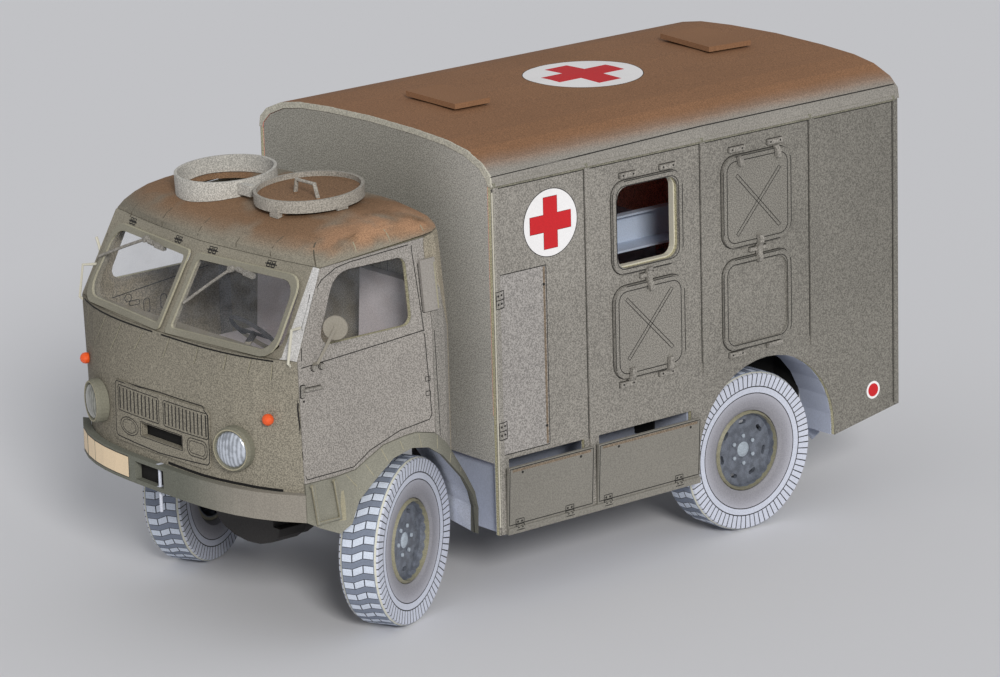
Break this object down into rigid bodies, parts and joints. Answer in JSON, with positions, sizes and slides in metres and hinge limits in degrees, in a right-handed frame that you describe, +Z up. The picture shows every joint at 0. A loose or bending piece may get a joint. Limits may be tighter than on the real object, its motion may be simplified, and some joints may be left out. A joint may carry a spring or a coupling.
{
  "type": "toy military ambulance truck",
  "caption": "Card scale model of a cab-over four-wheel-drive military ambulance truck with a box body, red cross discs, steered front wheels and rolling wheels.",
  "frame": {"origin": "on the ground under the middle of the model's bounding box, with the wheels standing on the ground", "axes": "-Y is the front of the vehicle, +Y the rear, +X the vehicle's left side, +Z up"},
  "size_m": [0.0756, 0.1525, 0.0876],
  "materials": {
    "card_olive": "printed olive grey card, matte",
    "card_green": "printed olive green card, matte",
    "card_grey": "blue grey card, matte",
    "card_pale": "cream painted wire, matte",
    "card_tyre": "lavender grey printed card tyre, matte",
    "disc_grey": "painted grey card disc, satin",
    "card_inside": "purple grey card, matte",
    "under_dark": "dark card, matte",
    "clear_film": "thin clear film",
    "lens": "silvery lamp lens",
    "orange_ball": "orange bead"
  },
  "bodies": {
    "body": {"cab_front": "card_olive", "windscreen_surround": "card_olive", "cab_side_left": "card_olive", "cab_side_right": "card_olive", "cab_rear_wall": "card_olive", "cab_roof": "card_olive", "grille_panel": "card_olive", "hatch_ring": "card_olive", "hatch_lid": "card_olive", "mirror_left": "card_olive", "engine_block": "card_olive", "box_front_wall": "card_olive", "box_rear_wall": "card_olive", "box_roof": "card_olive", "box_side_left": "card_olive", "box_side_right": "card_olive", "locker_flaps_left": "card_olive", "locker_flaps_right": "card_olive", "roof_vent_front": "card_olive", "roof_vent_rear": "card_olive", "fender_left": "card_green", "fender_right": "card_green", "bumper": "card_green", "windscreen_frame_left": "card_green", "windscreen_frame_right": "card_green", "duct_box": "card_green", "box_floor": "card_grey", "locker_left": "card_grey", "locker_right": "card_grey", "bench": "card_grey", "exhaust_pipe": "card_grey", "cab_floor": "card_inside", "dashboard": "card_inside", "seat_left": "card_inside", "seat_right": "card_inside", "backbone_tube": "under_dark", "frame_rails": "under_dark", "front_axle": "under_dark", "rear_axle": "under_dark", "side_pane_left": "clear_film", "side_pane_right": "clear_film", "windscreen_pane_left": "clear_film", "windscreen_pane_right": "clear_film", "grab_handle_left": "card_pale", "grab_handle_right": "card_pale", "marker_rod": "card_pale", "headlight_left": "lens", "headlight_right": "lens", "indicator_left": "orange_ball", "indicator_right": "orange_ball"},
    "wheel_front_left": {"tyre_front_left": "card_tyre", "wheel_front_left": "disc_grey"},
    "wheel_front_right": {"tyre_front_right": "card_tyre", "wheel_front_right": "disc_grey"},
    "wheel_rear_left": {"tyre_rear_left": "card_tyre", "wheel_rear_left": "disc_grey"},
    "wheel_rear_right": {"tyre_rear_right": "card_tyre", "wheel_rear_right": "disc_grey"},
    "knuckle_left": {"knuckle_left": "under_dark"},
    "knuckle_right": {"knuckle_right": "under_dark"}
  },
  "joints": [
    {"name": "steer_left", "type": "hinge", "parent": "body", "child": "knuckle_left", "pos_m": [0.0242, -0.04525, 0.0155], "axis": [0, 0, 1], "range_deg": [-54, 2]},
    {"name": "spin_front_left", "type": "hinge", "parent": "knuckle_left", "child": "wheel_front_left", "pos_m": [0.0242, -0.04525, 0.0155], "axis": [0.8988, 0.4384, 0], "continuous": true},
    {"name": "spin_rear_left", "type": "hinge", "parent": "body", "child": "wheel_rear_left", "pos_m": [0.0281, 0.03915, 0.0155], "axis": [1, 0, 0], "continuous": true},
    {"name": "steer_right", "type": "hinge", "parent": "body", "child": "knuckle_right", "pos_m": [-0.0242, -0.04525, 0.0155], "axis": [0, 0, 1], "range_deg": [-54, 2]},
    {"name": "spin_front_right", "type": "hinge", "parent": "knuckle_right", "child": "wheel_front_right", "pos_m": [-0.0242, -0.04525, 0.0155], "axis": [0.8988, 0.4384, 0], "continuous": true},
    {"name": "spin_rear_right", "type": "hinge", "parent": "body", "child": "wheel_rear_right", "pos_m": [-0.0281, 0.03915, 0.0155], "axis": [1, 0, 0], "continuous": true}
  ],
  "couplings": [
    {"joint": "steer_right", "follows": "steer_left", "ratio": 1}
  ]
}
